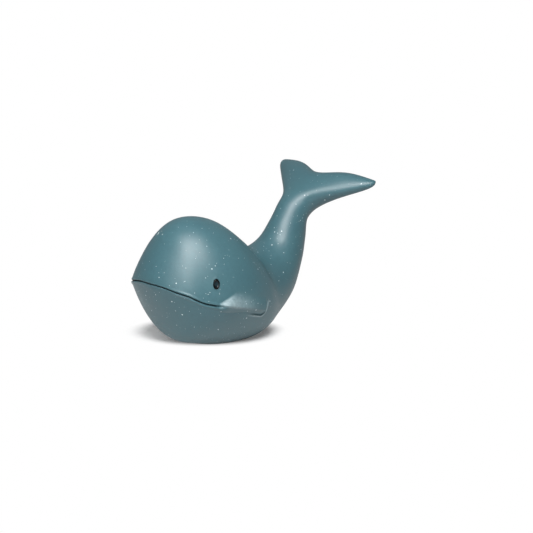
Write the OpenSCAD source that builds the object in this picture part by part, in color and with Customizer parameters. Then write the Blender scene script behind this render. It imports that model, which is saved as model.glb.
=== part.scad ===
// Whale squirt bath toy. A hollow soft skin carries the mouth line, the side fins and the tail
// flukes, two bead eyes are pressed into it, and a plug with the squirt hole closes the base.
// The nose points to -Y, the left side is +X, and the toy stands on Z = 0.

/* [Body] */
// Length from the nose to the fluke tips
overall_l = 85.1; // [80:0.1:92]
// Width across the cheeks, without the fins
body_w = 43; // [40:0.1:48]
// Height of the crown of the head
head_h = 44.7; // [42:0.1:47]
// Height of the nose, where the mouth line starts
nose_h = 25.3; // [24:0.1:26.5]
// Thickness of the soft skin
wall = 2.2; // [1.8:0.1:2.6]
// Thickness of the base round the plug
base_t = 3.6; // [3.2:0.1:4.6]
// How far the round belly is cut off to make the flat foot
foot_cut = 1.3; // [1:0.1:1.6]

/* [Mouth] */
// Distance behind the nose at which the mouth line ends
mouth_l = 15; // [13:0.5:17]
// Drop of the mouth line over that distance
mouth_drop = 7.4; // [6.6:0.1:8]
// Downward slope of the mouth line at the nose, in degrees
mouth_slope = 29.5; // [27:0.5:32]
// Depth of the crease
crease_depth = 0.6; // [0.3:0.1:1]
// Width of the crease
crease_w = 0.9; // [0.6:0.1:1.4]

/* [Fins] */
// Distance behind the nose at which a fin starts
fin_start = 13.9; // [12:0.1:16]
// Height of the fin's ridge where it starts
fin_h = 19.6; // [18.5:0.1:21]
// Length of a fin
fin_l = 20.3; // [17:0.1:22]
// Downward slope of a fin, in degrees
fin_slope = 16.5; // [12:0.5:21]
// Reach of the fin above its ridge
fin_upper = 3.9; // [3:0.1:4.6]
// Reach of the fin below its ridge
fin_lower = 1.8; // [1.4:0.1:2.6]
// How far a fin's ridge stands out of the body
fin_t = 1.1; // [0.8:0.1:1.5]

/* [Tail] */
// Height of the flukes' upper edge
tail_h = 51.1; // [48:0.1:55]
// Width of the tail stock below the flukes
stock_w = 11.6; // [10:0.1:13]
// Depth of the tail stock below the flukes
stock_t = 11.4; // [10:0.1:13]
// Rise of the flukes from the horizontal, in degrees
fluke_tilt = 45; // [41:0.5:50]
// Width across the fluke tips
fluke_span = 43; // [39:0.5:46]
// Length of the flukes along the tail
fluke_l = 19.8; // [17.5:0.1:21]
// Depth of the notch between the flukes
notch_depth = 4.5; // [3:0.1:6]
// Thickness of the flukes near the notch in their edge
fluke_t = 6.5; // [5.5:0.1:7]
// How far the edge of the flukes is set back
fluke_setback = 1.5; // [0.5:0.1:3]
// How far the fluke tips droop behind that
fluke_droop = 3.4; // [2:0.1:5]

/* [Eyes] */
// Width of an eye
eye_w = 2.3; // [1.8:0.1:3]
// Height of an eye
eye_h = 3.5; // [2.8:0.1:4.2]
// Height of the bead's dome over its rim
eye_dome = 0.35; // [0.2:0.05:0.6]
// Depth of the socket in the skin
eye_seat = 1; // [0.7:0.1:1.3]
// Gap round the bead in its socket
eye_gap = 0.05; // [0.03:0.01:0.1]

/* [Plug] */
// Diameter of the plug's head
plug_d = 9.6; // [9:0.1:10.4]
// Thickness of the plug's head
plug_head_t = 1.3; // [1:0.1:1.6]
// Diameter of the plug's neck
neck_d = 6.6; // [6.2:0.1:7.4]
// Length of neck that stands into the chamber
neck_tip = 1.6; // [1:0.1:2.4]
// Diameter of the squirt hole
jet_d = 2; // [1.4:0.1:2.6]
// Depth of the plug's head below the foot
plug_inset = 0.4; // [0.2:0.1:0.6]
// Gap round the plug, on the radius
plug_gap = 0.05; // [0.02:0.01:0.1]
// Radius of the notch for a fingernail beside the plug
nail_r = 1.3; // [1:0.1:1.6]

/* [Hidden] */

SKIN = "#4b737b";
EYE = "#0d0f12";
PLUG = "#5c7d86";

nose_y = -overall_l / 2;
half_w = body_w / 2;
mouth_grade = tan(mouth_slope);

// The root of the flukes lies so that they reach overall_l and tail_h: the droop and the setback
// carry their edge further back and down than their length does
tip_back = 3.35;
tip_rise = 1.54;
root_y = overall_l / 2 - fluke_l * cos(fluke_tilt) - tip_back;
root_z = tail_h - fluke_l * sin(fluke_tilt) + tip_rise;
fluke_along = [cos(fluke_tilt), sin(fluke_tilt)];
fluke_front = [-sin(fluke_tilt), cos(fluke_tilt)];

// Places along the length, up the head, up the tail and out to the side, in percent
function along(p) = nose_y + overall_l * p / 100;
function up(p) = head_h * p / 100;
function rise(p) = tail_h * p / 100;
function out(p) = half_w * p / 100;
function clamp(x, low, high) = min(high, max(low, x));
function smooth(x) = let (c = clamp(x, 0, 1)) c * c * (3 - 2 * c);
function unit(v) = v / norm(v);

// Height of the mouth line, which slopes down from the nose and levels off at its corner
corner_lift = mouth_l * mouth_grade - mouth_drop;
mouth_turn = 3;
function mouth_z(y) =
    let (s = y - nose_y)
    nose_h - mouth_grade * s + corner_lift * pow(max(0, 2 * s / mouth_l - 1), mouth_turn);

// A section holds the back point, the belly point, the half width, the share of the way up at
// which it is widest, and how sharply its side is bent above and below that level
function head_section(back, belly, width, bend_up, bend_down) =
    let (
        b = [along(back[0]), up(back[1])],
        f = [along(belly[0]), up(belly[1])],
        share = (mouth_z(f[0]) - f[1]) / (b[1] - f[1] + mouth_grade * (b[0] - f[0]))
    )
    [b[0], b[1], f[0], f[1], out(width), share, bend_up, bend_down];

// A section of the tail stock, square to the flukes and so far up them
function stock_section(ahead, thick) =
    let (
        mid = [root_y, root_z] + ahead * fluke_along,
        off = fluke_front * stock_t / 2 * thick
    )
    [mid[0] + off[0], mid[1] + off[1], mid[0] - off[0], mid[1] - off[1], stock_w / 2, 0.5, 1, 1];
aim_ahead = 6.5;
aim_thin = 0.92;

// Where the foot's lowest line lies, in percent of the length
foot_at = 34;

// The last three values of a section at the nose
nose_shape = [0.47, 1.7, 1.6];

SECTIONS = [
    [nose_y, nose_h, nose_y, nose_h, 0, each nose_shape],
    head_section([1.5, 66.1], [1.3, 48.3], 36.5, 1.7, 1.6),
    head_section([5.5, 80.6], [5, 31.6], 65.5, 1.65, 1.55),
    head_section([11.2, 94.1], [11.2, 10.4], 82.6, 1.5, 1.4),
    head_section([20, 100], [20.5, 2.8], 96.5, 1.25, 1.4),
    [along(31.2), up(95.5), along(foot_at), -foot_cut, half_w, 0.42, 1.12, 1.3],
    [along(41), up(82), along(47.2), up(-2.2), out(90), 0.42, 1, 1.12],
    [along(48.2), up(67.4), along(57.5), up(7.2), out(72), 0.43, 1, 1],
    [along(56.1), up(63.6), along(70.5), up(22.8), out(55.4), 0.47, 1, 1],
    [along(63.4), rise(59.9), along(78.9), rise(40.1), stock_w * 0.74, 0.5, 1, 1],
    [along(68.9), rise(71.8), along(82.3), rise(54), stock_w * 0.56, 0.5, 1, 1],
    stock_section(0, 1),
    // The curve only aims at this last one
    stock_section(aim_ahead, aim_thin)
];
last = len(SECTIONS) - 2;

// A smooth curve through the sections, which is mirrored at the nose
function spline(p, q, r, s, t) =
    0.5 * (2 * q + (r - p) * t + (2 * p - 5 * q + 4 * r - s) * t * t
        + (3 * q - p - 3 * r + s) * t * t * t);
function flipped(s) = [s[2], s[3], s[0], s[1], -s[4], s[5], s[6], s[7]];
function picked(list, i) =
    i < 0 ? flipped(list[-i]) :
    i >= len(list) ? 2 * list[len(list) - 1] - list[len(list) - 2] : list[i];
function between(list, u) =
    let (i = min(floor(u), len(list) - 2))
    spline(picked(list, i - 1), list[i], list[i + 1], picked(list, i + 2), u - i);

// One point of a section: angle 0 on the back line, 90 on the left side, 180 on the belly line
function section_point(s, angle, floor_z) =
    let (
        c = cos(angle),
        h = abs(c),
        bend = c >= 0 ? s[6] : s[7],
        side = sign(sin(angle)) * sqrt(max(0, 1 - pow(h, 2 / bend))),
        share = c >= 0 ? s[5] + (1 - s[5]) * h : s[5] - s[5] * h
    )
    [
        s[4] * side,
        s[2] + (s[0] - s[2]) * share,
        max(floor_z, s[3] + (s[1] - s[3]) * share)
    ];

// The fins are low wedges: a ridge stands out furthest, the face above it slopes back into the
// body, and the narrow face below it ends in an edge that turns up round the fin's end
fin_bend = 1.3;
fin_fall = 0.4;
fin_front = 2.2;
fin_corner = 1.4;
fin_edge = 1;
function fin_lift(y, z) =
    let (
        dy = y - nose_y - fin_start,
        dz = z - fin_h,
        a = dy * cos(fin_slope) - dz * sin(fin_slope),
        b = dy * sin(fin_slope) + dz * cos(fin_slope),
        above = pow(clamp(1 - b / fin_upper, 0, 1), fin_bend),
        below = 1 - fin_fall * clamp(-b / fin_lower, 0, 1),
        past_end = a - fin_l + fin_corner,
        past_low = -b - fin_lower + fin_corner,
        past = min(past_end, past_low) < 0
            ? max(past_end, past_low) - fin_corner
            : norm([past_end, past_low]) - fin_corner
    )
    fin_t * (b > 0 ? above : below) * smooth(a / fin_front) * smooth(-past / fin_edge);

// The mouth is a crease along the widest line of the head, which fades at its corner
mouth_fade = 2.5;
head_mid = [0, nose_y + half_w, nose_h - mouth_drop];
function crease(p, angle) =
    abs(sin(angle)) < 1 ? [0, 0, 0] :
    crease_depth * smooth((nose_y + mouth_l - p[1]) / mouth_fade) * unit(head_mid - p);

function skin_point(u, angle) =
    let (p = section_point(between(SECTIONS, u), angle, 0))
    p + [sign(p[0]) * fin_lift(p[1], p[2]), 0, 0] + crease(p, angle);

// The flukes widen out of the stock, round off at the tips and thin down to a round edge
flare_at = 0.24;
flare_soft = 0.07;
notch_w = 0.31;
notch_bend = 2;
droop_bend = 1.2;
droop_start = 1.5;
thin_evenly = 0.6;
edge_square = 0.45;
edge_at = 0.84;
tip_round = 1.5;
tip_thin = 0.3;
function ramp(u) = (u - flare_at + sqrt(pow(u - flare_at, 2) + flare_soft * flare_soft)) / 2;
function flare(u) = (ramp(u) - ramp(0)) / (ramp(1) - ramp(0));
function fluke_point(t, angle) =
    let (
        end = max(0, (t - edge_at) / (1 - edge_at)),
        round_off = sqrt(1 - end * end),
        width = (stock_w + (fluke_span - stock_w) * flare(min(1, t / edge_at))) / 2
            - tip_round * (1 - round_off),
        thin = thin_evenly * t + (1 - thin_evenly) * smooth(t),
        x = width * sin(angle),
        b = abs(sin(angle)),
        thick = (stock_t + (fluke_t - stock_t) * thin) * round_off * (1 - tip_thin * t * b * b),
        lobe = b * (1 - t * t) + (1 - exp(-pow(b / notch_w, notch_bend))) * t * t,
        run = t * (fluke_l - notch_depth + notch_depth * lobe),
        back = fluke_setback * t * t
            + fluke_droop * pow(abs(x) / fluke_span * 2, droop_bend) * min(1, droop_start * t),
        c = cos(angle),
        off = thick / 2 * sign(c) * pow(abs(c), 1 - edge_square * t) - back
    )
    [
        x,
        root_y + run * fluke_along[0] + off * fluke_front[0],
        root_z + run * fluke_along[1] + off * fluke_front[1]
    ];

// Angles round a ring, closer near the mouth line and the fins and alike in all four quarters.
// The two next to the mouth line stay half a crease away from it.
QUARTER = [0, 10, 20, 30, 40, 50, 59, 67, 72, 75.5, 78.5, 81.5, 84.5, 87.5, 90];
quarter_n = len(QUARTER);
ring_n = 4 * quarter_n;
widest_turn = 12;
function crease_turn(s) =
    let (above = (1 - s[5]) * norm([s[0] - s[2], s[1] - s[3]]))
    above < crease_w ? widest_turn : min(widest_turn, asin(crease_w / 2 / above));
function ring_angles(turn) =
    let (q = [for (a = QUARTER) a * (90 - turn) / 90])
    [
        each q,
        90,
        for (i = [quarter_n - 1:-1:1]) 180 - q[i],
        for (a = q) 180 + a,
        270,
        for (i = [quarter_n - 1:-1:1]) 360 - q[i]
    ];

// Places of the rings, closer at the nose and over the fins
BODY_RINGS = [
    0.1, 0.22, 0.4, 0.6, 0.8, for (u = [1:0.3:3.1]) u,
    for (u = [3.35:0.13:5.3]) u, for (u = [5.4:0.07:5.75]) u, for (u = [6:0.3:10.8]) u, last
];
FLUKE_RINGS = [
    for (t = [1:12]) edge_at * t / 12,
    for (a = [25, 45, 62, 75, 85]) edge_at + (1 - edge_at) * sin(a)
];

// Faces between the rings of a loft, two triangles to each patch
function loft_faces(rings, n, first) = [
    for (i = [0:rings - 2])
        for (j = [0:n - 1])
            let (k = (j + 1) % n, p = first + i * n, q = p + n)
                each [[p + j, q + j, p + k], [p + k, q + j, q + k]]
];
function nose_faces(n) = [for (j = [0:n - 1]) [0, 1 + j, 1 + (j + 1) % n]];
function tail_faces(n, first, tip) = [for (j = [0:n - 1]) [first + (j + 1) % n, first + j, tip]];
// The last ring of the flukes is closed by strips across its thickness
function edge_faces(first, n) =
    let (h = n / 2)
    [
        for (s = [0, h])
            for (j = [0:h / 2 - 1])
                let (p = first + s + j, q = first + (s + h - j) % n)
                    each (j == h / 2 - 1
                        ? [[p, q, p + 1]]
                        : [[p, q, p + 1], [p + 1, q, first + s + h - j - 1]])
    ];

module outer_skin() {
    fluke_angles = ring_angles(crease_turn(SECTIONS[last]));
    rings = [
        for (u = BODY_RINGS)
            [for (a = ring_angles(crease_turn(between(SECTIONS, u)))) skin_point(u, a)],
        for (t = FLUKE_RINGS) [for (a = fluke_angles) fluke_point(t, a)]
    ];
    count = len(rings);
    polyhedron(
        points = [[0, nose_y, nose_h] + crease([0, nose_y, nose_h], 90), for (r = rings) each r],
        faces = [
            each nose_faces(ring_n),
            each loft_faces(count, ring_n, 1),
            each edge_faces(1 + (count - 1) * ring_n, ring_n)
        ]
    );
}

// The chamber follows the skin one wall further in, from the nose to the end of the stock
function inner_section(i) =
    let (
        s = SECTIONS[i],
        near = SECTIONS[i - 1],
        far = SECTIONS[i + 1],
        slope = (far[4] - near[4]) / (far[0] - near[0]),
        t = wall * sqrt(1 + slope * slope),
        in = t * unit([s[2] - s[0], s[3] - s[1]])
    )
    [s[0] + in[0], s[1] + in[1], s[2] - in[0], s[3] - in[1], s[4] - t, s[5], s[6], s[7]];
stock_end = SECTIONS[last - 1];
INNER = [
    [nose_y + wall, nose_h, nose_y + wall, nose_h, 0, each nose_shape],
    for (i = [2:last - 1]) inner_section(i),
    [
        root_y - wall, root_z - wall, root_y - wall, root_z - wall,
        0, stock_end[5], stock_end[6], stock_end[7]
    ]
];
INNER_ANGLES = [for (a = [0:15:345]) a];

module chamber() {
    n = len(INNER_ANGLES);
    places = [0.2, 0.5, for (u = [1:0.4:len(INNER) - 1.4]) u, len(INNER) - 1.2];
    rings = [
        for (u = places) [for (a = INNER_ANGLES) section_point(between(INNER, u), a, base_t)]
    ];
    count = len(rings);
    polyhedron(
        points = [
            [0, nose_y + wall, nose_h],
            for (r = rings) each r,
            [0, root_y - wall, root_z - wall]
        ],
        faces = [
            each nose_faces(n),
            each loft_faces(count, n, 1),
            each tail_faces(n, 1 + (count - 1) * n, 1 + count * n)
        ]
    );
}

// The plug sits in the middle of the foot, which reaches further back than its lowest line
plug_back = 3;
plug_y = along(foot_at) + plug_back;
seat_top = plug_inset + plug_head_t;
neck_top = base_t + neck_tip;
neck_chamfer = 0.5;

// How far a cutter reaches past the face that it cuts through, and the facets of the round ones
past_face = 1;
past_skin = 3;
round_n = 64;
small_n = 32;

// The seat in the base: a counterbore for the head, a bore for the neck and a nail notch
module plug_seat() {
    translate([0, plug_y, 0]) {
        translate([0, 0, -past_face])
            cylinder(d = plug_d + 2 * plug_gap, h = seat_top + past_face, $fn = round_n);
        translate([0, 0, -past_face])
            cylinder(d = neck_d + 2 * plug_gap, h = base_t + 2 * past_face, $fn = round_n);
        translate([0, plug_d / 2, -past_face])
            cylinder(r = nail_r, h = seat_top + past_face, $fn = small_n);
    }
}

// Where the left eye sits on the skin, and the way its surface faces there, which is measured
// between places a little further on and round
eye_u = 3.54;
eye_angle = 72.9;
step_u = 0.1;
step_angle = 2;
eye_at = skin_point(eye_u, eye_angle);
eye_out = unit(cross(
    skin_point(eye_u, eye_angle - step_angle) - skin_point(eye_u, eye_angle + step_angle),
    skin_point(eye_u - step_u, eye_angle) - skin_point(eye_u + step_u, eye_angle)
));
eye_side = unit(cross([0, 0, 1], eye_out));
eye_up = cross(eye_out, eye_side);

module on_eye() {
    multmatrix([
        [eye_side[0], eye_up[0], eye_out[0], eye_at[0]],
        [eye_side[1], eye_up[1], eye_out[1], eye_at[1]],
        [eye_side[2], eye_up[2], eye_out[2], eye_at[2]],
        [0, 0, 0, 1]
    ])
        children();
}

eye_n = 24;
function oval(grow, z) = [
    for (i = [0:eye_n - 1])
        let (a = i * 360 / eye_n)
            [(eye_w / 2 + grow) * cos(a), (eye_h / 2 + grow) * sin(a), z]
];
function scaled(list, k, z) = [for (p = list) [p[0] * k, p[1] * k, z]];

module eye_socket() {
    on_eye()
        translate([0, 0, -eye_seat])
            linear_extrude(height = eye_seat + past_skin)
                polygon([for (p = oval(eye_gap, 0)) [p[0], p[1]]]);
}

module eye_bead() {
    rim = oval(0, 0);
    rings = [
        scaled(rim, 1, -eye_seat),
        scaled(rim, 1, 0),
        for (a = [20:20:80]) scaled(rim, cos(a), eye_dome * sin(a))
    ];
    count = len(rings);
    polyhedron(
        points = [[0, 0, -eye_seat], for (r = rings) each r, [0, 0, eye_dome]],
        faces = [
            each [for (j = [0:eye_n - 1]) [0, 1 + j, 1 + (j + 1) % eye_n]],
            each loft_faces(count, eye_n, 1),
            each tail_faces(eye_n, 1 + (count - 1) * eye_n, 1 + count * eye_n)
        ]
    );
}

module body_shell() {
    color(SKIN)
        difference() {
            outer_skin();
            chamber();
            plug_seat();
            eye_socket();
            mirror([1, 0, 0]) eye_socket();
        }
}

module eye_left() {
    color(EYE) on_eye() eye_bead();
}

module eye_right() {
    color(EYE) mirror([1, 0, 0]) on_eye() eye_bead();
}

module base_plug() {
    color(PLUG)
        translate([0, plug_y, 0])
            difference() {
                rotate_extrude($fn = round_n)
                    polygon([
                        [0, plug_inset],
                        [plug_d / 2, plug_inset],
                        [plug_d / 2, seat_top],
                        [neck_d / 2, seat_top],
                        [neck_d / 2, base_t],
                        [neck_d / 2 - neck_chamfer, neck_top],
                        [0, neck_top]
                    ]);
                translate([0, 0, -past_face])
                    cylinder(d = jet_d, h = neck_top + 2 * past_face, $fn = small_n);
            }
}

body_shell();
eye_left();
eye_right();
base_plug();
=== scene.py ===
"""The looks of the whale squirt bath toy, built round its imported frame.

Lengths are in millimetres up to the point where a mesh is made, and angles are in degrees. The
nose points to -Y, the left side is +X, and the toy stands on Z = 0. The skin is made as a left half
and mirrored.
"""

import math

import bmesh
import bpy
import numpy as np
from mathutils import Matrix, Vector


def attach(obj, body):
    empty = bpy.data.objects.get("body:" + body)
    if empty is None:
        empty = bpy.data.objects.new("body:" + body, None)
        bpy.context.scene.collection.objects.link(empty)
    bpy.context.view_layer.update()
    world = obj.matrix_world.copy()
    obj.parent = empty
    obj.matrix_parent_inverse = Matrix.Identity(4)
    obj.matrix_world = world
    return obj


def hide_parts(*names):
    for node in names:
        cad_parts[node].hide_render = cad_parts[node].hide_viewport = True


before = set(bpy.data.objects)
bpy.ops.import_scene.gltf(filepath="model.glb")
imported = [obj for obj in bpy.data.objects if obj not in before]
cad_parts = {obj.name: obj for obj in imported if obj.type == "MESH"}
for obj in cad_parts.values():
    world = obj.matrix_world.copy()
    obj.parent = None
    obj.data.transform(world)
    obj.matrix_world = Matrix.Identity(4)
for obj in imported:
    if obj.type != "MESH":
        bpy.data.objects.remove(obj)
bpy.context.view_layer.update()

MM = 0.001

# Rounded corners have a point every so many degrees, a cutting tool reaches so far past its cut,
# and points less than this far apart, in metres, are one
ROUND_STEP = 15
TOOL_EXTRA = 1
SAME_POINT = 1e-7

# Body, its flat foot and the grid of the water chamber
OVERALL_L = 85.1
BODY_W = 43.0
HEAD_H = 44.7
NOSE_H = 25.3
WALL = 2.2
BASE_T = 3.6
FOOT_CUT = 1.3
FOOT_AT = 34
FOOT_ROUND = 0.3
CHAMBER_STEP = 0.2
CHAMBER_ANGLES = 37

# Mouth: its line, the groove, the painted shade at the bottom of the groove and the lips beside it
MOUTH_L = 15.0
MOUTH_DROP = 7.4
MOUTH_SLOPE = 29.5
MOUTH_TURN = 3
MOUTH_FADE = 2.5
GROOVE_DEPTH = 0.8
GROOVE_W = 0.24
GROOVE_SHADE_W = 0.2
GROOVE_SHADE_DEPTH = 1.5
MOUTH_PAST = 3.4
MOUTH_POINTS = 1500
MOUTH_BATCH = 1000
LIP_H = 0.32
LIP_W = 0.45
LIP_AT = 0.7
LIP_START = 0.5
LIP_FADE = 3.0
UPPER_LIP = 0.5
NOSE_ROOM = 0.006

# Fins: their place, the pad with its swell, front and edge, and the groove and the rim at the end
FIN_START = 13.9
FIN_H = 19.6
FIN_L = 20.3
FIN_SLOPE = 16.5
FIN_UPPER = 4.1
FIN_UPPER_BEND = 1.05
FIN_LOWER = 1.8
FIN_T = 0.92
FIN_SWELL = 1.25
FIN_SWELL_L = 8.0
FIN_AHEAD = 0.6
FIN_SLANT = 1.1
FIN_FALL = 0.8
FIN_FALL_FROM = 0.4
FIN_FALL_RATE = 3
FIN_FRONT = 3.2
FIN_DEEPER = 1.2
FIN_DEEPER_L = 12.0
FIN_CORNER = 1.4
FIN_EDGE = 0.7
FIN_GROOVE = 0.25
FIN_GROOVE_W = 0.24
FIN_GROOVE_AT = 0.2
# How dark the painted shade in the groove round a fin's end is
FIN_GROOVE_SHADE = 0.18
FIN_RIM = 0.28
FIN_RIM_W = 0.26
FIN_RIM_AT = 0.75
FIN_RIM_FROM = 0.55
FIN_RIM_RATE = 4
FIN_RIM_TOP = 2
FIN_MARGIN = 3

# Painted highlights on the fins: a pale patch at each fin's front and a pale rim round its end
FIN_HIGHLIGHT = 0.27
FIN_HIGHLIGHT_FULL = 1
FIN_HIGHLIGHT_L = 17.0
FIN_HIGHLIGHT_H = 4.6
FIN_HIGHLIGHT_SOFT = 0.7
FIN_HIGHLIGHT_LOW = 1
FIN_HIGHLIGHT_LOW_SOFT = 1.2
RIM_HIGHLIGHT = 0.34

# Tail: the stock, the flukes with their notch, droop and edge, and how they are evened out
TAIL_H = 51.1
STOCK_W = 11.6
STOCK_T = 11.4
FLUKE_TILT = 45.0
FLUKE_SPAN = 45.8
FLUKE_L = 20.6
NOTCH_DEPTH = 4.85
NOTCH_W = 0.3
NOTCH_BEND = 2
FLUKE_T = 8.0
FLUKE_SETBACK = 1.7
FLUKE_DROOP = 3.4
DROOP_BEND = 1.2
DROOP_START = 1.5
THIN_EVENLY = 0.6
EDGE_SQUARE = 0.4
EDGE_AT = 0.84
TIP_ROUND = 1.2
TIP_FROM = 0.5
TIP_THIN = 0.2
FLARE_AT = 0.24
FLARE_SOFT = 0.1
LEAD_BEND = 0.92
TIP_POINT = 0.3
TIP_SLIM = 0.1
TIP_BACK = 3.48
TIP_RISE = 1.88
AIM_AHEAD = 6.5
AIM_THIN = 0.92
SOFTEN_STEPS = 200
SOFTEN_FACTOR = 0.5
SOFTEN_RATE = 2
SOFTEN_LEAD = 0.2

# Eyes: the bead, its place on the head, the lip round it, and the bead's outline, in which DISH is
# rows of (share of the size, growth, height)
EYE_W = 2.3
EYE_H = 3.5
EYE_DOME = 0.35
EYE_SEAT = 1.0
EYE_GAP = 0.05
EYE_U = 3.54
EYE_ANGLE = 72.9
EYE_STEP_U = 0.1
EYE_STEP_ANGLE = 2.0
EYE_TURN = -8.0
EYE_LIP = 0.1
EYE_LIP_AT = 0.22
EYE_LIP_W = 0.2
EYE_REACH = 3
EYE_STEPS = 96
EYE_FOOT = 0.94
EYE_FOOT_H = 0.08
EYE_SHOULDER = 0.12
EYE_CREST = 0.78
DISH_H = 0.12
DISH = [(0.4, 0, 0.1), (0.2, 0, 0.09), (0, 0, 0.09)]
DISH_FADE = 3

# Plug: head, neck, squirt hole, seat and the notch for a fingernail
PLUG_D = 9.6
PLUG_HEAD_T = 1.3
NECK_D = 6.6
NECK_TIP = 1.6
JET_D = 2.0
PLUG_INSET = 0.4
PLUG_GAP = 0.05
PLUG_BACK = 3
PLUG_SOFT = 0.25
NECK_TAPER = 0.5
SEAT_SOFT = 0.35
SEAT_FLARE = 0.6
NAIL_R = 1.3
NAIL_SOFT = 0.4
PLUG_STEPS = 128
NAIL_STEPS = 48

NOSE_Y = -OVERALL_L / 2
HALF_W = BODY_W / 2
MOUTH_GRADE = math.tan(math.radians(MOUTH_SLOPE))
CORNER_LIFT = MOUTH_L * MOUTH_GRADE - MOUTH_DROP
HEAD_MID = np.array([0, NOSE_Y + HALF_W, NOSE_H - MOUTH_DROP])
SEAT_TOP = PLUG_INSET + PLUG_HEAD_T
NECK_TOP = BASE_T + NECK_TIP


def sin(angle):
    return np.sin(np.radians(angle))


def cos(angle):
    return np.cos(np.radians(angle))


def smooth(x):
    """Rises softly from 0 to 1 while x does"""
    c = np.clip(x, 0, 1)
    return c * c * (3 - 2 * c)


def bump_at(x, width):
    """Is 1 where x is 0 and falls off softly on both sides"""
    return np.exp(-((x / width) ** 2))


def soft_above(x, soft):
    """Follows x well above 0, stays near 0 well below it, and turns softly between"""
    return (x + np.sqrt(x * x + soft ** 2)) / 2


def along(p):
    """The place p hundredths of the length behind the nose"""
    return NOSE_Y + OVERALL_L * p / 100


def up(p):
    """The height p hundredths up the head"""
    return HEAD_H * p / 100


def rise(p):
    """The height p hundredths up to the tip of the tail"""
    return TAIL_H * p / 100


def out(p):
    """A half width of p hundredths of the body's"""
    return HALF_W * p / 100


def mouth_z(y):
    """Height of the mouth line, which slopes down from the nose and levels off at its corner"""
    s = y - NOSE_Y
    turn = max(0, 2 * s / MOUTH_L - 1) ** MOUTH_TURN
    return NOSE_H - MOUTH_GRADE * s + CORNER_LIFT * turn


PLUG_Y = along(FOOT_AT) + PLUG_BACK
# Where the flukes start, and the ways along them and out of their front
ROOT_Y = OVERALL_L / 2 - FLUKE_L * cos(FLUKE_TILT) - TIP_BACK
ROOT_Z = TAIL_H - FLUKE_L * sin(FLUKE_TILT) + TIP_RISE
FLUKE_ALONG = np.array([cos(FLUKE_TILT), sin(FLUKE_TILT)])
FLUKE_FRONT = np.array([-sin(FLUKE_TILT), cos(FLUKE_TILT)])


def head_section(back, belly, width, bend_up, bend_down):
    """A section whose widest level lies on the mouth line"""
    b = [along(back[0]), up(back[1])]
    f = [along(belly[0]), up(belly[1])]
    share = (mouth_z(f[0]) - f[1]) / (b[1] - f[1] + MOUTH_GRADE * (b[0] - f[0]))
    return [*b, *f, out(width), share, bend_up, bend_down]


def stock_section(ahead, thick):
    """A section of the tail stock, square to the flukes and so far up them"""
    mid = np.array([ROOT_Y, ROOT_Z]) + ahead * FLUKE_ALONG
    off = FLUKE_FRONT * STOCK_T / 2 * thick
    return [*(mid + off), *(mid - off), STOCK_W / 2, 0.5, 1, 1]


# A section: back point, belly point, half width, share of the way up at which it is widest, and
# how pinched it is above and below that, where 1 is round. The last section only aims the one
# before it.
NOSE_SHAPE = [0, 0.47, 1.7, 1.6]
SECTIONS = np.array([
    [NOSE_Y, NOSE_H, NOSE_Y, NOSE_H, *NOSE_SHAPE],
    head_section([1.5, 66.1], [1.3, 48.3], 36.5, 1.7, 1.6),
    head_section([5.5, 80.6], [5, 31.6], 65.5, 1.65, 1.55),
    head_section([11.2, 94.1], [11.2, 10.4], 82.6, 1.5, 1.4),
    head_section([20, 100], [20.5, 2.8], 96.5, 1.25, 1.4),
    [along(31.2), up(95.5), along(FOOT_AT), -FOOT_CUT, HALF_W, 0.42, 1.12, 1.3],
    [along(41), up(82), along(47.2), up(-2.2), out(90), 0.42, 1, 1.12],
    [along(48.2), up(67.4), along(57.5), up(7.2), out(72), 0.43, 1, 1],
    [along(56.1), up(63.6), along(70.5), up(22.8), out(55.4), 0.47, 1, 1],
    [along(63.4), rise(59.9), along(78.9), rise(40.1), STOCK_W * 0.74, 0.5, 1, 1],
    [along(68.9), rise(71.8), along(82.3), rise(54), STOCK_W * 0.56, 0.5, 1, 1],
    stock_section(0, 1),
    stock_section(AIM_AHEAD, AIM_THIN),
])
LAST = len(SECTIONS) - 2


def between(sections, u):
    """Sections at the places u along a smooth curve that is mirrored at the nose"""
    flipped = sections[1][[2, 3, 0, 1, 4, 5, 6, 7]] * [1, 1, 1, 1, -1, 1, 1, 1]
    ahead = 2 * sections[-1] - sections[-2]
    rows = np.vstack([flipped, sections, ahead])
    i = np.minimum(np.floor(u).astype(int), len(sections) - 2)
    t = (u - i)[:, None]
    p, q, r, s = rows[i], rows[i + 1], rows[i + 2], rows[i + 3]
    return 0.5 * (
        2 * q + (r - p) * t
        + (2 * p - 5 * q + 4 * r - s) * t ** 2
        + (3 * q - p - 3 * r + s) * t ** 3
    )


def section_points(sections, angles):
    """Points of the left half: angle 0 on the back line, 90 on the side, 180 on the belly"""
    s = sections[:, None, :]
    c = cos(angles)[None, :]
    h = np.abs(c)
    upper = c >= 0
    bend = np.where(upper, s[..., 6], s[..., 7])
    side = np.sqrt(np.maximum(0, 1 - h ** (2 / bend)))
    share = np.where(upper, s[..., 5] + (1 - s[..., 5]) * h, s[..., 5] - s[..., 5] * h)
    x = s[..., 4] * side
    y = s[..., 2] + (s[..., 0] - s[..., 2]) * share
    z = s[..., 3] + (s[..., 1] - s[..., 3]) * share
    return np.stack([x, y, z], -1)


def behind_front(a, b):
    """How far behind a fin's slanted front a place lies that is so far along and up the fin"""
    return a + FIN_AHEAD - FIN_SLANT * np.maximum(b, 0)


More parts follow.
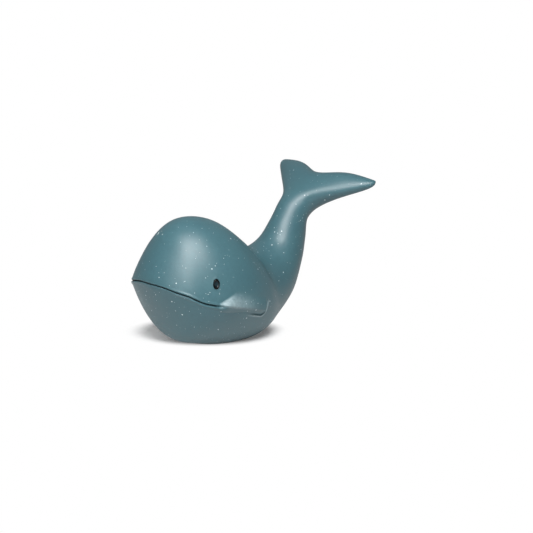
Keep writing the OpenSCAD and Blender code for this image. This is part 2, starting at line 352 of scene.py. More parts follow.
def fin_place(y, z):
    """Places along and up a fin, how far past its edge they lie, and the part that has a rim"""
    dy = y - NOSE_Y - FIN_START
    dz = z - FIN_H
    a = dy * cos(FIN_SLOPE) - dz * sin(FIN_SLOPE)
    b = dy * sin(FIN_SLOPE) + dz * cos(FIN_SLOPE)
    lower = FIN_LOWER + FIN_DEEPER * (1 - smooth(a / FIN_DEEPER_L))
    past_end = a - FIN_L + FIN_CORNER
    past_low = -b - lower + FIN_CORNER
    at_corner = np.hypot(np.maximum(past_end, 0), np.maximum(past_low, 0))
    at_edge = np.maximum(past_end, past_low)
    past = np.where((past_end < 0) | (past_low < 0), at_edge, at_corner) - FIN_CORNER
    rimmed = smooth((a / FIN_L - FIN_RIM_FROM) * FIN_RIM_RATE)
    rimmed = rimmed * smooth((FIN_UPPER - b) / FIN_RIM_TOP)
    return a, b, lower, past, rimmed


def fin_lift(y, z):
    """How far a fin stands out sideways at a place on the skin, with the line round its end"""
    a, b, lower, past, rimmed = fin_place(y, z)
    above = np.clip(1 - b / FIN_UPPER, 0, 1) ** FIN_UPPER_BEND
    fall = 1 - (1 - FIN_FALL) * smooth((a / FIN_L - FIN_FALL_FROM) * FIN_FALL_RATE)
    below = 1 - fall * np.clip(-b / lower, 0, 1)
    thick = FIN_T + FIN_SWELL * (1 - smooth(a / FIN_SWELL_L))
    start = np.clip(behind_front(a, b) / FIN_FRONT, 0, 1)
    front = 1 - (1 - start) ** 2
    pad = thick * np.where(b > 0, above, below) * front * smooth(-past / FIN_EDGE)
    groove = FIN_GROOVE * bump_at(past - FIN_GROOVE_AT, FIN_GROOVE_W)
    rim = FIN_RIM * bump_at(past - FIN_RIM_AT, FIN_RIM_W)
    return pad + rimmed * (rim - groove)


GRADED_SAMPLES = 6000


def graded(stops):
    """Places from the first stop to the last, spaced as each (place, spacing) pair says"""
    at, gap = np.array(stops, float).T
    fine = np.linspace(at[0], at[-1], GRADED_SAMPLES)
    density = 1 / np.interp(fine, at, gap)
    count = np.concatenate([[0], np.cumsum((density[1:] + density[:-1]) / 2 * np.diff(fine))])
    return np.interp(np.linspace(0, count[-1], round(count[-1]) + 1), count, fine)


# Angles round a section, close together at the mouth line, and places along the body, close
# together at the eyes and at the rear end of the fins
ANGLES = np.concatenate([
    graded([(0, 2), (50, 1.8), (64, 0.6), (84, 0.45), (88, 0.2), (90, 0.15)]),
    graded([(90, 0.15), (92, 0.2), (95, 0.45), (108, 0.5), (120, 1.6), (180, 2)])[1:],
])
SIDE = int(np.argmin(np.abs(ANGLES - 90)))
PLACES = graded([
    (0.03, 0.04), (0.4, 0.06), (1, 0.05), (3.2, 0.045), (3.38, 0.022), (3.7, 0.022),
    (3.85, 0.035), (5.2, 0.03), (5.35, 0.018), (5.75, 0.018), (5.9, 0.06), (LAST, 0.08),
])
FLUKE_PLACES = np.concatenate([
    graded([(0, 0.02), (EDGE_AT, 0.015)])[1:],
    EDGE_AT + (1 - EDGE_AT) * sin(graded([(0, 8), (60, 5), (88.5, 2.5)]))[1:],
])


def eye_frame():
    """The left eye's place on the skin, its sideways and upward axes and the way it faces"""
    u = EYE_U + EYE_STEP_U * np.array([0, 1, -1])
    a = EYE_ANGLE + EYE_STEP_ANGLE * np.array([0, -1, 1])
    p = section_points(between(SECTIONS, u), a)
    facing = np.cross(p[0, 1] - p[0, 2], p[2, 0] - p[1, 0])
    facing /= np.linalg.norm(facing)
    level = np.cross([0, 0, 1], facing)
    level /= np.linalg.norm(level)
    sideways = level * cos(EYE_TURN) + np.cross(facing, level) * sin(EYE_TURN)
    return p[0, 0], sideways, np.cross(facing, sideways), facing


EYE_AT, EYE_SIDEWAYS, EYE_UPWARD, EYE_FACING = eye_frame()


def mouth_relief(p):
    """Groove and lips along the widest line of the head, which fade at the mouth's corner"""
    steps = np.linalg.norm(np.diff(p, axis=1), axis=2)
    run = np.concatenate([np.zeros((len(p), 1)), np.cumsum(steps, axis=1)], axis=1)
    d = run[:, SIDE:SIDE + 1] - run
    y = p[:, SIDE, 1][:, None]
    fade = smooth((NOSE_Y + MOUTH_L - y) / MOUTH_FADE)
    groove = GROOVE_DEPTH * bump_at(d, GROOVE_W)
    lips = LIP_H * (bump_at(d + LIP_AT, LIP_W) + UPPER_LIP * bump_at(d - LIP_AT, LIP_W))
    lips = lips * smooth((y - NOSE_Y - LIP_START) / LIP_FADE)
    return fade * (lips - groove)


def eye_relief(p):
    """A low lip round the eye's socket"""
    off = p - EYE_AT
    e = np.hypot(off @ EYE_SIDEWAYS / (EYE_W / 2), off @ EYE_UPWARD / (EYE_H / 2))
    past = (e - 1) * (EYE_W + EYE_H) / 4
    near = off @ EYE_FACING > -EYE_REACH
    return np.where(near, EYE_LIP * bump_at(past - EYE_LIP_AT, EYE_LIP_W), 0)


def body_half():
    """Rings of the left half of the skin from the nose to the end of the tail stock"""
    p = section_points(between(SECTIONS, PLACES), ANGLES)
    outward = p - HEAD_MID
    outward /= np.linalg.norm(outward, axis=2, keepdims=True)
    p = p + mouth_relief(p)[..., None] * outward + eye_relief(p)[..., None] * EYE_FACING
    p[..., 0] += fin_lift(p[..., 1], p[..., 2])
    p[..., 0] *= (ANGLES > 0) & (ANGLES < 180)
    p[..., 2] = soft_above(p[..., 2], FOOT_ROUND)
    lowest = soft_above(SECTIONS[:, 3].min(), FOOT_ROUND)
    p[..., 2] -= lowest * np.exp(-np.maximum(p[..., 2], 0) / FOOT_ROUND)
    return p


def flare(u):
    """How far the flukes have spread, from 0 to 1, at a share u of their length"""
    start, end, now = (soft_above(v - FLARE_AT, FLARE_SOFT) for v in (0, 1, u))
    return (now - start) / (end - start)


def fluke_half():
    """Rings of the left half of the flukes, up to their rounded edge, which narrows at the tips"""
    ring = FLUKE_PLACES[:, None]
    a = ANGLES[None, :]
    b = np.abs(sin(a))
    tip = smooth((b - TIP_FROM) / (1 - TIP_FROM))
    edge = EDGE_AT + (1 - EDGE_AT) * TIP_POINT * tip
    end = np.maximum(0, (ring - EDGE_AT) / (1 - EDGE_AT))
    t = np.where(ring < EDGE_AT, ring / EDGE_AT * edge, edge + (1 - edge) * end)
    round_off = np.sqrt(1 - end * end)
    spread = flare(np.minimum(1, ring / EDGE_AT)) ** LEAD_BEND
    width = (STOCK_W + (FLUKE_SPAN - STOCK_W) * spread) / 2
    width = width - TIP_ROUND * (1 - round_off)
    thin = THIN_EVENLY * t + (1 - THIN_EVENLY) * smooth(t)
    thick = (STOCK_T + (FLUKE_T - STOCK_T) * thin) * round_off
    thick = thick * (1 - TIP_THIN * t * b * b) * (1 - TIP_SLIM * t * tip)
    x = width * b
    notch = 1 - np.exp(-((b / NOTCH_W) ** NOTCH_BEND))
    lobe = b * (1 - t * t) + notch * t * t
    run = t * (FLUKE_L - NOTCH_DEPTH + NOTCH_DEPTH * lobe)
    back = FLUKE_SETBACK * t * t
    back = back + FLUKE_DROOP * (x / FLUKE_SPAN * 2) ** DROOP_BEND * np.minimum(1, DROOP_START * t)
    c = cos(a)
    off = thick / 2 * np.sign(c) * np.abs(c) ** (1 - EDGE_SQUARE * t) - back
    y = ROOT_Y + run * FLUKE_ALONG[0] + off * FLUKE_FRONT[0]
    z = ROOT_Z + run * FLUKE_ALONG[1] + off * FLUKE_FRONT[1]
    return np.stack([x, y, z], -1)


MIRROR = [-1, 1, 1]


def whole(half):
    """Full rings from left halves"""
    return np.concatenate([half, half[:, -2:0:-1] * MIRROR], axis=1)


def loft(rings, nose, tip=None):
    """Points and faces of a closed loft from a nose point through rings to a tip or an edge"""
    count, n, _ = rings.shape
    points = [tuple(nose), *map(tuple, rings.reshape(-1, 3))]
    faces = [(0, 1 + j, 1 + (j + 1) % n) for j in range(n)]
    for i in range(count - 1):
        p = 1 + i * n
        faces += [(p + j, p + n + j, p + n + (j + 1) % n, p + (j + 1) % n) for j in range(n)]
    first = 1 + (count - 1) * n
    if tip is not None:
        points.append(tuple(tip))
        faces += [(first + (j + 1) % n, first + j, len(points) - 1) for j in range(n)]
        return points, faces
    # The last ring is flat, and each half of it is closed by faces between its front and its back
    half = n // 2
    for side in (0, half):
        for j in range((half - 1) // 2):
            p = first + side + j
            q = first + (side + half - j) % n
            faces.append((p, q, first + side + half - j - 1, p + 1))
        if half % 2 == 0:
            p = first + side + half // 2
            faces.append((p - 1, p + 1, p))
    return points, faces


def make_object(name, points, faces):
    """An object from points in millimetres and faces"""
    mesh = bpy.data.meshes.new(name)
    mesh.from_pydata((np.array(points) * MM).tolist(), [], faces)
    mesh.validate()
    obj = bpy.data.objects.new(name, mesh)
    bpy.context.scene.collection.objects.link(obj)
    tidy(obj)
    return obj


def tidy(obj):
    """Joins doubled points and turns all faces outward"""
    work = bmesh.new()
    work.from_mesh(obj.data)
    bmesh.ops.remove_doubles(work, verts=work.verts, dist=SAME_POINT)
    bmesh.ops.recalc_face_normals(work, faces=work.faces)
    work.to_mesh(obj.data)
    work.free()


def stacked_rings(rows, steps):
    """Points and faces of a closed solid from (half width, half depth, height) rows

    Each row is an oval ring, and a row of no width is a single point. The last ring is joined to
    the first one.
    """
    points = []
    rings = []
    for across, deep, height in rows:
        if across == 0:
            rings.append([len(points)] * steps)
            points.append((0, 0, height))
            continue
        rings.append(range(len(points), len(points) + steps))
        turns = [360 * k / steps for k in range(steps)]
        points += [(across * cos(a), deep * sin(a), height) for a in turns]
    faces = []
    for low, high in zip(rings, rings[1:] + rings[:1]):
        for k in range(steps):
            n = (k + 1) % steps
            face = list(dict.fromkeys([low[k], low[n], high[n], high[k]]))
            if len(face) > 2:
                faces.append(face)
    return np.array(points), faces


def revolve(name, outline, steps, y):
    """A solid from (radius, height) points turned round a vertical axis through a place y"""
    points, faces = stacked_rings([(r, r, z) for r, z in outline], steps)
    return make_object(name, points + [0, y, 0], faces)


def apply_modifiers(obj):
    """Makes the shape that the modifiers give an object its own"""
    graph = bpy.context.evaluated_depsgraph_get()
    mesh = bpy.data.meshes.new_from_object(obj.evaluated_get(graph))
    obj.modifiers.clear()
    obj.data = mesh


def cut(obj, tool):
    """Cuts one closed mesh out of another and deletes it"""
    step = obj.modifiers.new("cut", "BOOLEAN")
    step.object = tool
    step.operation = "DIFFERENCE"
    step.solver = "MANIFOLD"
    apply_modifiers(obj)
    bpy.data.objects.remove(tool)


def finish_shading(obj, angle):
    """Smooth shading, with a sharp edge where two faces meet at more than the angle"""
    obj.data.shade_smooth()
    obj.data.set_sharp_from_angle(angle=math.radians(angle))


def chamber():
    """The water chamber, one wall inside the skin"""
    rows = []
    for i in range(2, LAST):
        before, s, after = SECTIONS[i - 1:i + 2]
        slope = (after[4] - before[4]) / (after[0] - before[0])
        t = WALL * math.sqrt(1 + slope * slope)
        inward = s[2:4] - s[0:2]
        inward = t * inward / np.linalg.norm(inward)
        rows.append([*(s[0:2] + inward), *(s[2:4] - inward), s[4] - t, *s[5:8]])
    end = SECTIONS[LAST - 1]
    tip = [ROOT_Y - WALL, ROOT_Z - WALL]
    inner = np.array([
        [NOSE_Y + WALL, NOSE_H, NOSE_Y + WALL, NOSE_H, *NOSE_SHAPE],
        *rows,
        [*tip, *tip, 0, *end[5:8]],
    ])
    # The first and the last of these lie close to the chamber's ends, which are points
    middle = np.arange(1, len(inner) - 1.4, CHAMBER_STEP)
    places = np.concatenate([[0.2, 0.5], middle, [len(inner) - 1.2]])
    half = section_points(between(inner, places), np.linspace(0, 180, CHAMBER_ANGLES))
    half[..., 2] = np.maximum(half[..., 2], BASE_T)
    half[:, [0, -1], 0] = 0
    points, faces = loft(whole(half), [0, NOSE_Y + WALL, NOSE_H], [0, *tip])
    return make_object("chamber_tool", points, faces)


def seat_tool():
    """The counterbore and the neck bore, with a softened mouth"""
    head = PLUG_D / 2 + PLUG_GAP
    neck = NECK_D / 2 + PLUG_GAP
    mouth = head + SEAT_SOFT
    outline = [(0, -TOOL_EXTRA), (mouth + SEAT_FLARE, -TOOL_EXTRA), (mouth, 0)]
    outline += [
        (head + SEAT_SOFT * (1 - sin(a)), SEAT_SOFT * (1 - cos(a)))
        for a in range(ROUND_STEP, 90, ROUND_STEP)
    ]
    outline += [(head, SEAT_SOFT), (head, SEAT_TOP), (neck, SEAT_TOP)]
    outline += [(neck, BASE_T + TOOL_EXTRA), (0, BASE_T + TOOL_EXTRA)]
    return revolve("seat_tool", outline, PLUG_STEPS, PLUG_Y)


def nail_tool():
    """The notch for a fingernail at the back of the plug"""
    straight = SEAT_TOP - NAIL_SOFT
    outline = [(0, -TOOL_EXTRA), (NAIL_R, -TOOL_EXTRA), (NAIL_R, straight)]
    outline += [
        (NAIL_R * cos(a), straight + NAIL_SOFT * sin(a))
        for a in range(ROUND_STEP, 90, ROUND_STEP)
    ]
    outline += [(0, SEAT_TOP)]
    return revolve("nail_tool", outline, NAIL_STEPS, PLUG_Y + PLUG_D / 2)


def on_eye(points, mirror):
    """Places points given as sideways, upward and outward of the left eye, or the right one"""
    q = np.array(points) @ np.array([EYE_SIDEWAYS, EYE_UPWARD, EYE_FACING]) + EYE_AT
    return q * MIRROR if mirror else q


def oval_solid(name, profile, mirror):
    """A solid at an eye: each profile row is (share of the eye's size, growth, height)"""
    rows = [(EYE_W / 2 * share + grow, EYE_H / 2 * share + grow, z) for share, grow, z in profile]
    points, faces = stacked_rings(rows, EYE_STEPS)
    return make_object(name, on_eye(points, mirror), faces)


def socket_tool(mirror):
    """The socket of an eye, a little wider than its bead"""
    profile = [
        (0, 0, -EYE_SEAT), (1, EYE_GAP, -EYE_SEAT), (1, EYE_GAP, EYE_REACH), (0, 0, EYE_REACH),
    ]
    return oval_solid("socket_tool", profile, mirror)


def mesh_points(obj):
    """The points of a mesh as rows, in millimetres"""
    points = np.empty(len(obj.data.vertices) * 3)
    obj.data.vertices.foreach_get("co", points)
    return points.reshape(-1, 3) / MM


def store(obj, name, values):
    """Stores a number for each point of a mesh, for its material"""
    mark = obj.data.attributes.new(name, "FLOAT", "POINT")
    mark.data.foreach_set("value", values.astype(np.float32))


def eye_bead(name, mirror):
    """A bead with a glossy raised rim and a shallow dish"""
    profile = [
        (0, 0, -EYE_SEAT), (EYE_FOOT, 0, -EYE_SEAT), (1, 0, EYE_FOOT_H - EYE_SEAT),
        (1, 0, -EYE_SHOULDER),
    ]
    for a in range(ROUND_STEP, 180, ROUND_STEP):
        start = -EYE_SHOULDER if a <= 90 else DISH_H
        share = EYE_CREST + (1 - EYE_CREST) * cos(a)
        profile.append((share, 0, start + (EYE_DOME - start) * sin(a)))
    bead = oval_solid(name, profile + DISH, mirror)
    facing = EYE_FACING * (MIRROR if mirror else 1)
    off = mesh_points(bead) - on_eye([(0, 0, 0)], mirror)
    height = off @ facing
    aside = np.linalg.norm(off - height[:, None] * facing, axis=1)
    # The dish's paler colour is a painted reflection of the light, so the dish is marked for it
    dish = smooth((EYE_W / 2 - aside) / EYE_W * DISH_FADE)
    store(bead, "dish", np.where(height > 0, dish, 0))
    finish_shading(bead, angle=50)
    return bead


def soften_flukes(skin):
    """Evens out the flukes, so that they swell and taper as one soft form"""
    points = mesh_points(skin)
    ahead = points[:, 1] * FLUKE_ALONG[0] + points[:, 2] * FLUKE_ALONG[1]
    ahead -= ROOT_Y * FLUKE_ALONG[0] + ROOT_Z * FLUKE_ALONG[1]
    share = smooth(ahead / FLUKE_L * SOFTEN_RATE + SOFTEN_LEAD)
    group = skin.vertex_groups.new(name="flukes")
    for index in np.nonzero(share)[0]:
        group.add([int(index)], float(share[index]), "REPLACE")
    step = skin.modifiers.new("soften", "SMOOTH")
    step.vertex_group = group.name
    step.factor = SOFTEN_FACTOR
    step.iterations = SOFTEN_STEPS
    apply_modifiers(skin)
    skin.vertex_groups.clear()


def mouth_shade(points):
    """Painted shade at the bottom of the mouth groove: how near it each point of the left half
    lies, from 0 to 1
    """
    u = np.linspace(0, MOUTH_PAST, MOUTH_POINTS)
    line = section_points(between(SECTIONS, u), np.array([90.0]))[:, 0]
    line = line[line[:, 1] < NOSE_Y + MOUTH_L]
    inward = HEAD_MID - line
    inward /= np.linalg.norm(inward, axis=1, keepdims=True)
    level = NOSE_H - MOUTH_DROP / 2
    near = (points[:, 1] < NOSE_Y + MOUTH_L) & (np.abs(points[:, 2] - level) < MOUTH_DROP)
    near = np.where(near)[0]
    shade = np.zeros(len(points))
    for part in np.array_split(near, len(near) // MOUTH_BATCH + 1):
        off = points[part, None, :] - line[None, :, :]
        deep = (off * inward[None, :, :]).sum(axis=2)
        aside = np.sqrt(np.maximum(0, (off * off).sum(axis=2) - deep * deep))
        far = deep >= GROOVE_DEPTH * GROOVE_SHADE_DEPTH
        aside = np.where(far, MOUTH_L, aside).min(axis=1)
        end = smooth((NOSE_Y + MOUTH_L - points[part, 1]) / MOUTH_FADE)
        shade[part] = end * bump_at(aside, GROOVE_SHADE_W)
    return shade


def mark_skin(skin):
    """Stores for the material the painted shade in the mouth groove and round each fin's end, and
    the painted highlight on the fins
    """
    points = mesh_points(skin)
    points[:, 0] = np.abs(points[:, 0])
    shade = mouth_shade(points)
    a, b, _, past, rimmed = fin_place(points[:, 1], points[:, 2])
    at_fin = (points[:, 0] > HALF_W - WALL) & (points[:, 1] > NOSE_Y + FIN_START - FIN_MARGIN)
    # Painted shade in the groove round each fin's end
    fin_groove_shade = FIN_GROOVE_SHADE * rimmed * bump_at(past - FIN_GROOVE_AT, FIN_GROOVE_W)
    store(skin, "crease", np.where(at_fin, np.maximum(shade, fin_groove_shade), shade))
    # Painted highlights: a pale patch at the front of each fin and a pale rim round its end
    painted_highlight = FIN_HIGHLIGHT * smooth(behind_front(a, b) / FIN_HIGHLIGHT_SOFT)
    fade = (1 - smooth((a - FIN_HIGHLIGHT_FULL) / FIN_HIGHLIGHT_L)) * (1 - smooth((b - FIN_HIGHLIGHT_FULL) / FIN_HIGHLIGHT_H))
    fade = fade * smooth((b + FIN_HIGHLIGHT_LOW) / FIN_HIGHLIGHT_LOW_SOFT)
    painted_highlight = painted_highlight * fade + RIM_HIGHLIGHT * rimmed * bump_at(past - FIN_RIM_AT, FIN_RIM_W)
    store(skin, "painted_highlight", np.where(at_fin, painted_highlight, 0))


def body_skin():
    """The hollow skin with its chamber, the plug's seat and the sockets cut out of it"""
    rings = np.concatenate([whole(body_half()), whole(fluke_half())])
    rings[..., 2] -= rings[..., 2].min()
    rings[..., 1] += NOSE_ROOM
    nose = np.array([0, NOSE_Y + NOSE_ROOM, NOSE_H])
    inward = np.array([0, HALF_W, -MOUTH_DROP])
    nose = nose + GROOVE_DEPTH * inward / np.linalg.norm(inward)
    points, faces = loft(rings, nose)
    skin = make_object("whale_skin", points, faces)
    soften_flukes(skin)
    for tool in (chamber(), seat_tool(), nail_tool(), socket_tool(False), socket_tool(True)):
        cut(skin, tool)
    mark_skin(skin)
    finish_shading(skin, angle=40)
    return skin


def stopper():
    """The base plug: rounded head, tapered neck and the squirt hole with a softened mouth"""
    head = PLUG_D / 2
    neck = NECK_D / 2
    jet = JET_D / 2
    outline = [(jet, PLUG_INSET + PLUG_SOFT)]
    outline += [
        (jet + PLUG_SOFT * (1 - cos(a)), PLUG_INSET + PLUG_SOFT * (1 - sin(a)))
        for a in range(ROUND_STEP, 91, ROUND_STEP)
    ]
    outline += [
        (head - PLUG_SOFT * (1 - sin(a)), PLUG_INSET + PLUG_SOFT * (1 - cos(a)))
        for a in range(0, 91, ROUND_STEP)
    ]
    outline += [(head, SEAT_TOP), (neck, SEAT_TOP), (neck, BASE_T)]
    outline += [(neck - NECK_TAPER, NECK_TOP), (jet, NECK_TOP)]
    plug = revolve("squirt_plug", outline, PLUG_STEPS, PLUG_Y)
    finish_shading(plug, angle=35)
    return plug


class Nodes:
    """A short way to write the node tree of a material or of the world"""

    def __init__(self, owner):
        owner.use_nodes = True
        self.tree = owner.node_tree

    def give(self, socket, value):
        """Links a socket to another one, or sets its number or colour"""
        if isinstance(value, bpy.types.NodeSocket):
            self.tree.links.new(value, socket)
        else:
            socket.default_value = value

    def add(self, kind, values=None, **settings):
        node = self.tree.nodes.new("ShaderNode" + kind)
        for key, value in settings.items():
            setattr(node, key, value)
        for key, value in (values or {}).items():
            self.give(node.inputs[key], value)
        return node

    def math(self, operation, first, second, clamp=False):
        node = self.add("Math", {0: first, 1: second}, operation=operation, use_clamp=clamp)
        return node.outputs[0]

    def blend(self, share, first, second):
        return self.add("Mix", {0: share, 6: first, 7: second}, data_type="RGBA").outputs[2]

    def noise(self, place, scale, detail, roughness=0.5):
        values = {"Vector": place, "Scale": scale, "Detail": detail, "Roughness": roughness}
        return self.add("TexNoise", values).outputs[0]

    def spread(self, value, start, end, low, high, **settings):
        """Takes the values from start to end to those from low to high"""
        values = {"Value": value, "From Min": start, "From Max": end, "To Min": low, "To Max": high}
        return self.add("MapRange", values, **settings).outputs[0]

    def mark(self, name):
        """What is stored for each point under a name"""
        return self.add("Attribute", attribute_name=name).outputs["Fac"]


def linear(hex_colour):
    """A colour socket's value from a written colour"""
    parts = [int(hex_colour[i:i + 2], 16) / 255 for i in (1, 3, 5)]
    return (*[c / 12.92 if c <= 0.04045 else ((c + 0.055) / 1.055) ** 2.4 for c in parts], 1)


# A fleck is solid up to this share of its radius, and this is the least radius, as a share of cell
FLECK_CORE = 0.6
FLECK_LEAST = 0.001


def specks(nodes, place, cell, largest, share, stretch=(1, 1, 1), turn=(0, 0, 0)):
    """A mask of fine flecks: cell is their spacing and largest their radius, in millimetres"""
    size = [s / (cell * MM) for s in stretch]
    mapped = nodes.add("Mapping", {"Vector": place, "Rotation": turn, "Scale": size}).outputs[0]
    cells = nodes.add("TexVoronoi", {"Vector": mapped, "Scale": 1.0, "Randomness": 1.0})
    chance = nodes.add("SeparateColor", {0: cells.outputs["Color"]}).outputs[0]
    radius = nodes.math("SUBTRACT", chance, 1 - share)
    radius = nodes.math("MULTIPLY", radius, largest / cell / share, clamp=True)
    inner = nodes.math("MULTIPLY", radius, FLECK_CORE)
    fade = nodes.spread(cells.outputs["Distance"], inner, radius, 1.0, 0.0)
    there = nodes.math("GREATER_THAN", radius, FLECK_LEAST)
    return nodes.math("MULTIPLY", fade, there, clamp=True)


# The grain's noise lies between these two, and it varies the brightness, the painted highlight on
# the fins and the roughness of the skin between the next ones
GRAIN = (0.3, 0.7)
GRAIN_SHADE = (0.94, 1.06)
GRAIN_HIGHLIGHT = (0.7, 1.3)
SKIN_ROUGH = (0.38, 0.46)
# How strong the finest flecks are, and the colour of the painted shade in the grooves and the
# roughness it adds
DUST = 0.8
GROOVE_SHADE_COLOUR = "#070b0c"
GROOVE_SHADE_ROUGH = 0.5


def skin_material(name, base, deep, pale):
    """Soft moulded plastic: satin, faintly mottled, with sparse pale flecks all through it, painted
    shade in its grooves and a painted highlight on its fins
    """
    material = bpy.data.materials.new(name)
    nodes = Nodes(material)
    shader = nodes.tree.nodes["Principled BSDF"]
    place = nodes.add("TexCoord").outputs["Object"]
    cloud = nodes.noise(place, scale=70.0, detail=3.0)
    grain = nodes.noise(place, scale=900.0, detail=2.0, roughness=0.6)
    fine = nodes.noise(place, scale=1500.0, detail=3.0, roughness=0.6)
    crease = nodes.mark("crease")
    colour = nodes.blend(cloud, linear(deep), linear(base))
    shade = nodes.spread(grain, *GRAIN, *GRAIN_SHADE)
    colour = nodes.add("HueSaturation", {"Color": colour, "Value": shade}).outputs[0]
    dots = specks(nodes, place, cell=2.0, largest=0.28, share=0.75)
    streaks = specks(
        nodes, place, cell=5.0, largest=0.42, share=0.6,
        stretch=(1, 0.3, 0.55), turn=(0.4, 0.9, 0.3),
    )
    dust = specks(nodes, place, cell=1.0, largest=0.17, share=0.65)
    flecks = nodes.math("MAXIMUM", dots, streaks)
    flecks = nodes.math("MAXIMUM", flecks, nodes.math("MULTIPLY", dust, DUST))
    colour = nodes.blend(flecks, colour, linear(pale))
    # Painted highlight on the fins, broken up by the grain
    patchy = nodes.spread(grain, *GRAIN, *GRAIN_HIGHLIGHT)
    painted_highlight = nodes.math("MULTIPLY", nodes.mark("painted_highlight"), patchy)
    colour = nodes.blend(painted_highlight, colour, linear(pale))
    # Painted shade in the mouth groove and in the groove round each fin's end
    colour = nodes.blend(crease, colour, linear(GROOVE_SHADE_COLOUR))
    nodes.give(shader.inputs["Base Color"], colour)
    rough = nodes.spread(grain, *GRAIN, *SKIN_ROUGH)
    rough = nodes.math("ADD", rough, nodes.math("MULTIPLY", crease, GROOVE_SHADE_ROUGH))
    nodes.give(shader.inputs["Roughness"], rough)
    relief = nodes.add("Bump", {"Height": fine, "Strength": 0.3, "Distance": 0.0001})
    nodes.give(shader.inputs["Normal"], relief.outputs[0])
    shader.inputs["Specular IOR Level"].default_value = 0.52
    return material


EYE_ROUGH = (0.14, 0.24)


def eye_material():
    """Near-black gloss with faint wiping marks, and a paler dish that is a painted reflection of
    the light
    """
    material = bpy.data.materials.new("eye_gloss")
    nodes = Nodes(material)
    shader = nodes.tree.nodes["Principled BSDF"]
    place = nodes.add("TexCoord").outputs["Object"]
    haze = nodes.noise(place, scale=1500.0, detail=3.0)
    colour = nodes.blend(haze, linear("#030405"), linear("#070a0c"))
    # Painted reflection of the light in the dish
    colour = nodes.blend(nodes.mark("dish"), colour, linear("#1a282d"))
    nodes.give(shader.inputs["Base Color"], colour)
    nodes.give(shader.inputs["Roughness"], nodes.spread(haze, 0, 1, *EYE_ROUGH))
    shader.inputs["Specular IOR Level"].default_value = 0.16
    return material


def paint(obj, material):
    """Gives an object its only material"""
    obj.data.materials.clear()
    obj.data.materials.append(material)


def place_piece(obj, body, node):
    """Ties a piece to its body and hides the solid that it stands for"""
    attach(obj, body)
    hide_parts(node)


def make_toy():
    skin_finish = skin_material("speckled_skin", "#3c5f66", "#355760", "#ccd9dc")
    plug_finish = skin_material("plug_rubber", "#557178", "#4e6a72", "#bfced1")
    eye_finish = eye_material()
    skin = body_skin()
    paint(skin, skin_finish)
    place_piece(skin, "skin", "body_shell")
    for name, mirror in (("eye_left", False), ("eye_right", True)):
        bead = eye_bead(name + "_bead", mirror)
        paint(bead, eye_finish)
        place_piece(bead, "skin", name)
    plug = stopper()
    paint(plug, plug_finish)
    place_piece(plug, "plug", "base_plug")


# Camera, fitted to the toy's outline in the photograph: the scale is in pixels per millimetre at
# the target, the photograph's side in pixels, and the clipping distances in metres
CAMERA_AZIMUTH = 46.0
CAMERA_ELEVATION = 16.0
CAMERA_DISTANCE = 900.0
CAMERA_TARGET = np.array([0, 0, 22.0])
CAMERA_SCALE = 2.926
TARGET_PIXEL = np.array([242.5, 268.7])
PHOTO_SIZE = 533
SENSOR = 36.0
CLIP_NEAR = 0.01
CLIP_FAR = 20.0


def direction(azimuth, elevation):
    """The way to a place: azimuth 0 is ahead of the nose, and 90 is on the toy's left side"""
    return np.array([
        sin(azimuth) * cos(elevation), -cos(azimuth) * cos(elevation), sin(elevation),
    ])


def make_camera():
    data = bpy.data.cameras.new("camera")
    camera = bpy.data.objects.new("camera", data)
    bpy.context.scene.collection.objects.link(camera)
    back = direction(CAMERA_AZIMUTH, CAMERA_ELEVATION)
    right = np.array([cos(CAMERA_AZIMUTH), sin(CAMERA_AZIMUTH), 0])
    upward = np.cross(back, right)
    off = (PHOTO_SIZE / 2 - TARGET_PIXEL) / CAMERA_SCALE
    aim = CAMERA_TARGET + off[0] * right - off[1] * upward
    place = CAMERA_TARGET + CAMERA_DISTANCE * back
    look = Vector(aim - place)
    camera.location = Vector(place * MM)
    camera.rotation_euler = look.to_track_quat("-Z", "Y").to_euler()
    data.sensor_width = SENSOR
    data.lens = SENSOR * CAMERA_SCALE * CAMERA_DISTANCE / PHOTO_SIZE
    data.clip_start = CLIP_NEAR
    data.clip_end = CLIP_FAR
    bpy.context.scene.camera = camera


# Lamps: name, azimuth, elevation, distance and side in millimetres, power in watts
LAMPS = [
    ("key", 49, 53, 400, 240, 2.5),
    ("side_fill", 14, 50, 1300, 600, 1.8),
    ("low_front", 15, 28, 400, 240, 0.55),
]


def area_light(name, azimuth, elevation, distance, side, power):
    """A square lamp that is aimed at the toy"""
    data = bpy.data.lights.new(name, "AREA")
    data.shape = "SQUARE"
    data.size = side * MM
    data.energy = power
    lamp = bpy.data.objects.new(name, data)
    place = CAMERA_TARGET + distance * direction(azimuth, elevation)
    lamp.location = Vector(place * MM)
    lamp.rotation_euler = Vector(CAMERA_TARGET - place).to_track_quat("-Z", "Y").to_euler()
    bpy.context.scene.collection.objects.link(lamp)


WHITE = (1, 1, 1, 1)
# How much of the background's white the satin skin and the eyes reflect, and how much of the
# world's white lights the toy
GLOSS_WHITE = 0.3
WORLD_DIM = 0.05


def background_rays(nodes):
    """How white the background is: full for the camera and through glass, less off a gloss"""
    path = nodes.add("LightPath").outputs
    straight = nodes.math("MAXIMUM", path["Is Camera Ray"], path["Is Transmission Ray"])
    off_gloss = nodes.math("MULTIPLY", path["Is Glossy Ray"], GLOSS_WHITE)
    return nodes.math("MAXIMUM", straight, off_gloss)


def make_lights():
    for lamp in LAMPS:
        area_light(*lamp)
    world = bpy.data.worlds.new("studio")
    bpy.context.scene.world = world
    nodes = Nodes(world)
    shader = nodes.tree.nodes["Background"]
    glow = nodes.spread(background_rays(nodes), 0, 1, WORLD_DIM, 1.0)
    nodes.give(shader.inputs["Strength"], glow)
    shader.inputs["Color"].default_value = WHITE


# Half the floor's side, and what it bounces near the toy and further off, with the distances in
# metres between which that changes
FLOOR_REACH = 4000
BOUNCE_NEAR = (0.65, 0.65, 0.65, 1)
BOUNCE_FAR = (0.25, 0.25, 0.25, 1)
BOUNCE_FADE = (0.05, 0.2)
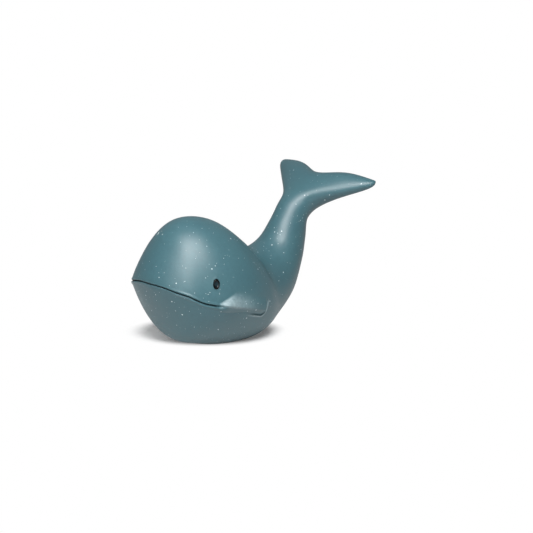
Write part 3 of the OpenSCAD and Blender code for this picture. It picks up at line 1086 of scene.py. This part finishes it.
# The shadow's reach on the floor, to the camera's right and away from it, round its middle
SHADOW_MID = (-12.5, -1.0)
SHADOW_REACH = (29.0, 18.0)
SHADOW_CORE = 0.7
SHADOW_PALE = 0.12


def floor_material():
    """White paper with the toy's shadow near it, plain white further off, clear from below"""
    material = bpy.data.materials.new("white_floor")
    nodes = Nodes(material)
    nodes.tree.nodes.remove(nodes.tree.nodes["Principled BSDF"])
    output = nodes.tree.nodes["Material Output"]
    seen = background_rays(nodes)
    place = nodes.add("TexCoord").outputs["Object"]
    distance = nodes.add("VectorMath", {0: place}, operation="LENGTH").outputs["Value"]
    dim = nodes.spread(distance, *BOUNCE_FADE, 0, 1)
    colour = nodes.blend(seen, nodes.blend(dim, BOUNCE_NEAR, BOUNCE_FAR), WHITE)
    paper = nodes.add("BsdfDiffuse", {"Color": colour}).outputs[0]
    white = nodes.add("Emission", {"Strength": 1.0}).outputs[0]
    turned = nodes.add("VectorRotate", {
        "Vector": place, "Angle": -math.radians(CAMERA_AZIMUTH),
    }, rotation_type="Z_AXIS")
    sized = nodes.add("Mapping", {
        "Vector": turned.outputs[0],
        "Location": [-m / r for m, r in zip(SHADOW_MID, SHADOW_REACH)] + [0],
        "Scale": [1 / (r * MM) for r in SHADOW_REACH] + [1],
    })
    reach = nodes.add("VectorMath", {0: sized.outputs[0]}, operation="LENGTH").outputs["Value"]
    far = nodes.spread(
        reach, SHADOW_CORE, 1.0, SHADOW_PALE, 1.0, interpolation_type="SMOOTHSTEP",
    )
    share = nodes.math("MULTIPLY", far, seen)
    above = nodes.add("MixShader", {0: share, 1: paper, 2: white}).outputs[0]
    below = nodes.add("NewGeometry").outputs["Backfacing"]
    clear = nodes.add("BsdfTransparent").outputs[0]
    sided = nodes.add("MixShader", {0: below, 1: above, 2: clear}).outputs[0]
    nodes.give(output.inputs["Surface"], sided)
    return material


def make_floor():
    r = FLOOR_REACH
    floor = make_object("floor", [(-r, -r, 0), (r, -r, 0), (r, r, 0), (-r, r, 0)], [(0, 1, 2, 3)])
    paint(floor, floor_material())


bpy.context.scene.view_settings.view_transform = "Standard"
make_camera()
make_lights()
make_toy()
make_floor()
